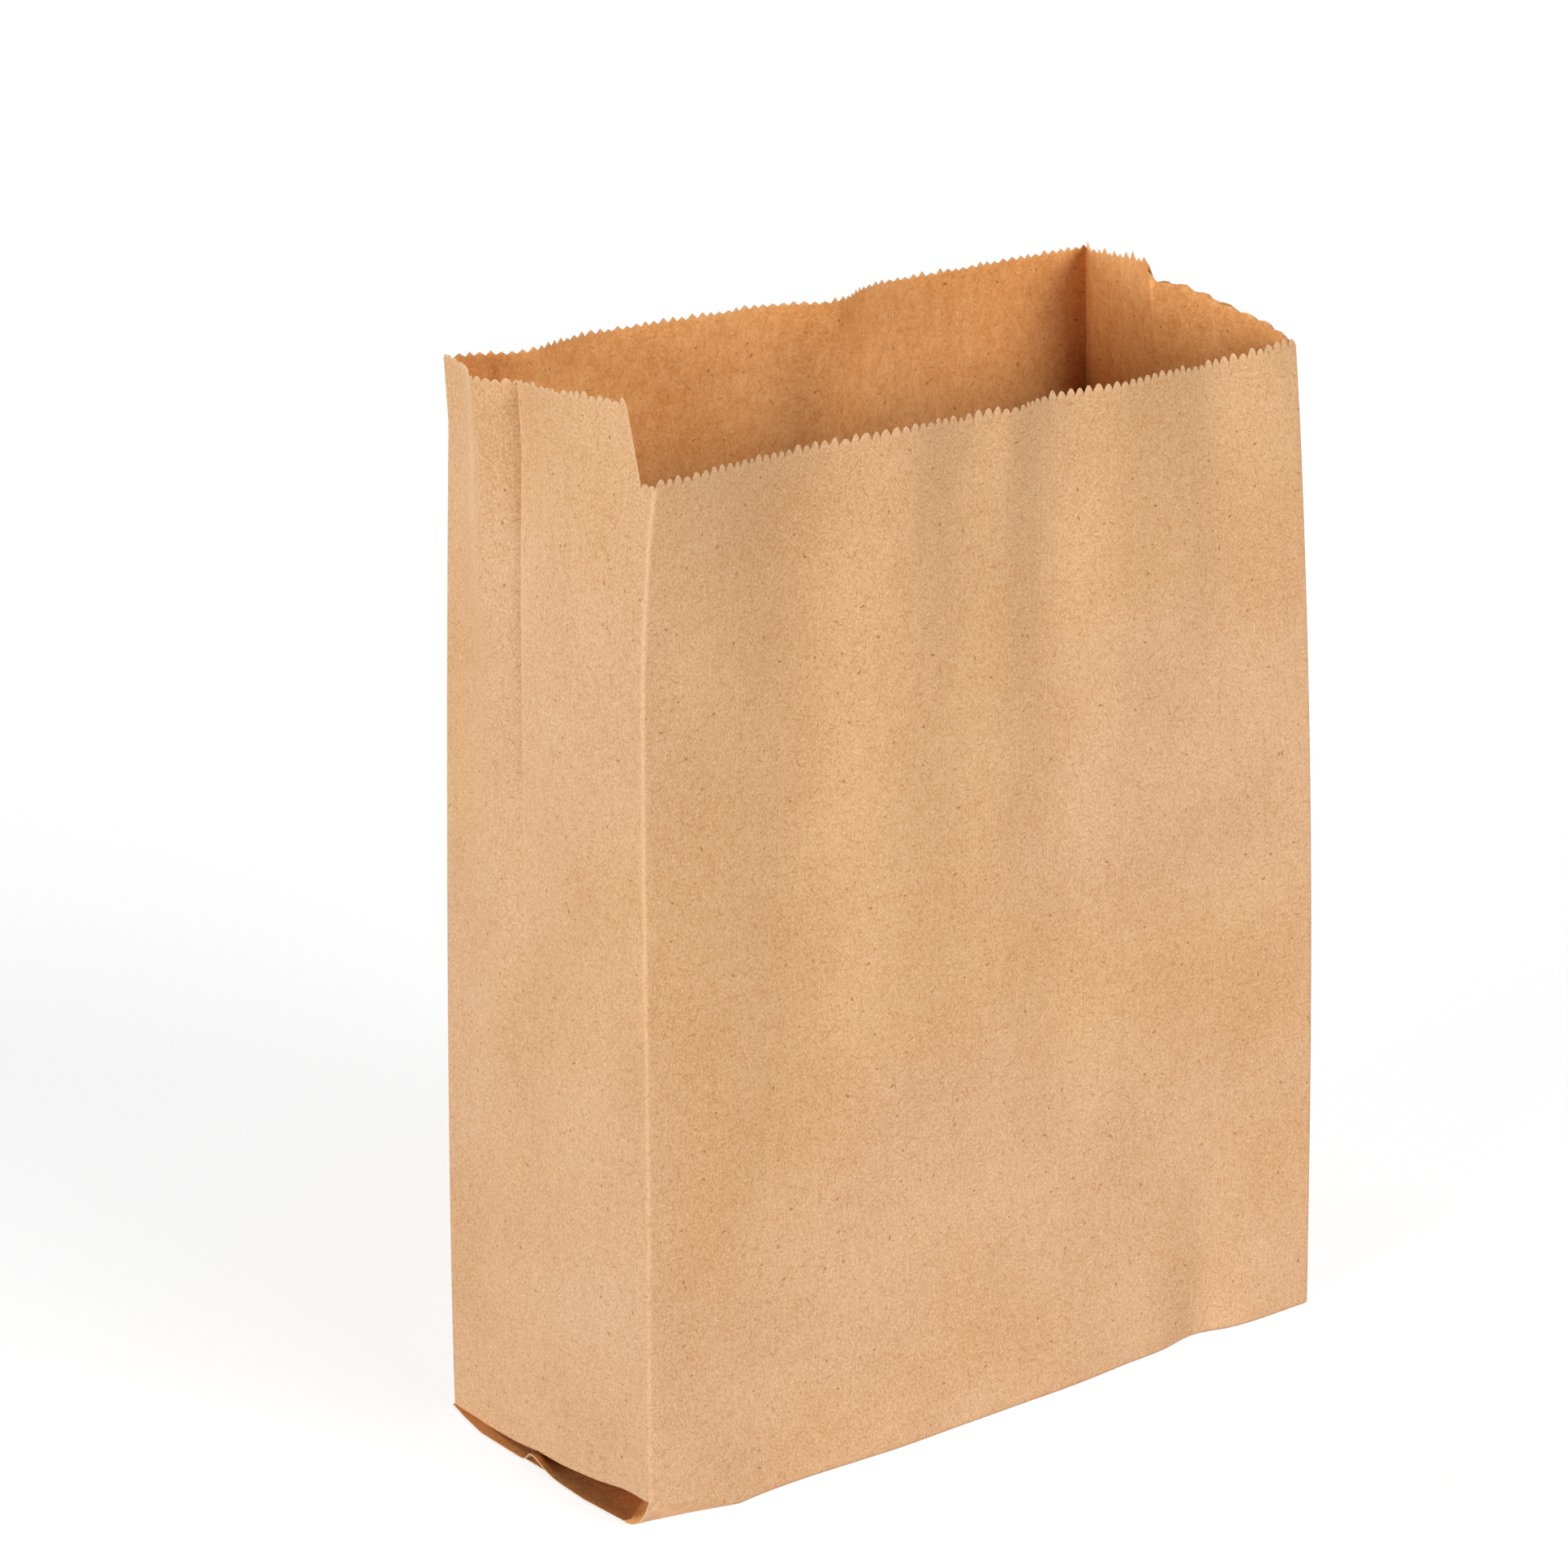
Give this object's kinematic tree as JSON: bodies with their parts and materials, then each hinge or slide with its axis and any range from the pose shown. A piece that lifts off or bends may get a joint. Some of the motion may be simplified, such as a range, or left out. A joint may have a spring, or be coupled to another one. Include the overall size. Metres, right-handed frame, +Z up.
{
  "type": "sanitary disposal bag",
  "caption": "Open kraft paper liner bag for a sanitary disposal bin, with gusseted sides, a pasted square base and a saw-toothed mouth cut lower at the front.",
  "frame": {"origin": "middle of the bag's bounding box, on the floor that the base stands on", "axes": "+Z up out of the mouth, -Y out of the lowered front panel, +X to the right of someone who looks at the front panel"},
  "size_m": [0.2014, 0.0916, 0.2582],
  "materials": {
    "kraft_paper": "matte unbleached kraft paper with fine fibres and dark specks"
  },
  "bodies": {
    "root": {"paper_bag": "kraft_paper"}
  },
  "joints": []
}
